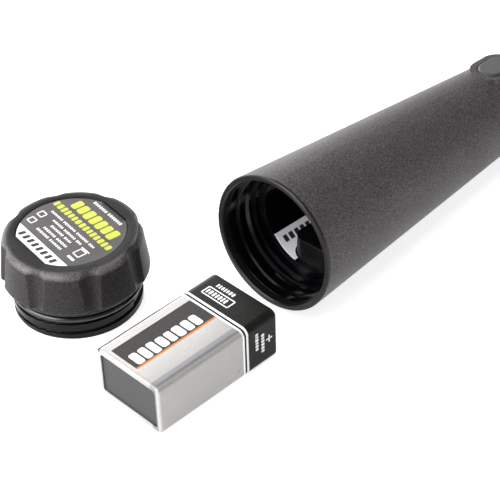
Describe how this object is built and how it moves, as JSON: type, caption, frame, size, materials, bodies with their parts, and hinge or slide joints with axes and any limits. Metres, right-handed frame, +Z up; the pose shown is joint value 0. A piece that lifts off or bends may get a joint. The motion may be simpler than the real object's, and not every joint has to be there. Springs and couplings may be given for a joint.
{
  "type": "pinpointer probe",
  "caption": "Tapered handheld metal detecting probe, opened: threaded mouth and battery well, lobed screw cap with seal ring, and its square battery lying in front.",
  "frame": {"origin": "on the table, under the middle of the whole group of tube, cap and battery", "axes": "+X along the tube towards its closed tip, +Z up, +Y to the side where the cap stands"},
  "size_m": [0.2758, 0.0925, 0.0449],
  "materials": {
    "tube_plastic": "fine spark-eroded texture, satin",
    "nose_plastic": "fine spark-eroded texture, satin",
    "inner_plastic": "moulded, satin",
    "knob_plastic": "fine texture, worn satin on the edges",
    "printed_label": "satin laminated print",
    "serial_paper": "satin",
    "o_ring_rubber": "greased, glossy",
    "button_rubber": "soft matt",
    "foam": "open-cell foam",
    "board": "solder mask",
    "chip_epoxy": "moulded epoxy",
    "component": "fired",
    "can_metal": "satin",
    "steel": "plated",
    "contact_metal": "gold plated",
    "membrane": "woven",
    "lamp_epoxy": "clear",
    "wire_insulation": "smooth",
    "ferrite": "sintered",
    "former_plastic": "moulded",
    "copper_wire": "enamelled",
    "battery_jacket": "lithographed, satin metallic",
    "battery_plate": "moulded",
    "cell_can": "satin",
    "terminal_nickel": "nickel plated"
  },
  "bodies": {
    "housing": {"handle_tube": "tube_plastic", "nose_tube": "nose_plastic", "battery_guides": "inner_plastic", "serial_strip": "serial_paper", "contact_block": "inner_plastic", "contact_barrels": "contact_metal", "circuit_board": "board", "board_screws": "steel", "main_chip": "chip_epoxy", "small_components": "component", "capacitor": "can_metal", "buzzer": "chip_epoxy", "sound_membrane": "membrane", "vibration_motor": "can_metal", "tactile_switch": "chip_epoxy", "lamp": "lamp_epoxy", "lamp_leads": "wire_insulation", "battery_leads": "wire_insulation", "coil_leads": "wire_insulation", "ferrite_core": "ferrite", "coil_former": "former_plastic", "transmit_winding": "copper_wire", "receive_winding": "copper_wire", "core_cushions": "foam"},
    "cap_screw": {"cap_o_ring": "o_ring_rubber"},
    "cap": {"cap_knob": "knob_plastic", "cap_label": "printed_label", "battery_pad": "foam"},
    "battery": {"battery_jacket": "battery_jacket", "battery_top_plate": "battery_plate", "battery_base_plate": "battery_plate", "battery_cells": "cell_can", "positive_terminal": "terminal_nickel", "negative_terminal": "terminal_nickel"},
    "button": {"power_button": "button_rubber", "switch_plunger": "inner_plastic"},
    "plus_contact": {"positive_contact": "contact_metal"},
    "minus_contact": {"negative_contact": "contact_metal"},
    "motor_shaft": {"motor_rotor": "steel"}
  },
  "joints": [
    {"name": "cap_travel", "type": "slide", "parent": "housing", "child": "cap_screw", "axis": [0, 0, 1], "range_m": [0, 0.00701]},
    {"name": "cap_turn", "type": "hinge", "parent": "cap_screw", "child": "cap", "pos_m": [-0.11117, 0.02308, 0], "axis": [0, 0, 1], "range_deg": [0, 720]},
    {"name": "battery_slide", "type": "slide", "parent": "housing", "child": "battery", "axis": [-0.9991, 0.0419, 0], "range_m": [-0.008, 0.05]},
    {"name": "button_press", "type": "slide", "parent": "housing", "child": "button", "axis": [-0.0626, 0, -0.998], "range_m": [0, 0.0008], "stiffness_N_per_m": 800},
    {"name": "plus_contact_press", "type": "slide", "parent": "housing", "child": "plus_contact", "axis": [0.998, 0, -0.0626], "range_m": [0, 0.0013], "stiffness_N_per_m": 700},
    {"name": "minus_contact_press", "type": "slide", "parent": "housing", "child": "minus_contact", "axis": [0.998, 0, -0.0626], "range_m": [0, 0.0013], "stiffness_N_per_m": 700},
    {"name": "motor_spin", "type": "hinge", "parent": "housing", "child": "motor_shaft", "pos_m": [0.02445, -0.0305, 0.01537], "axis": [0.998, 0, -0.0626], "continuous": true}
  ],
  "couplings": [
    {"joint": "cap_travel", "follows": "cap_turn", "m_per_rad": 0.00055704}
  ]
}
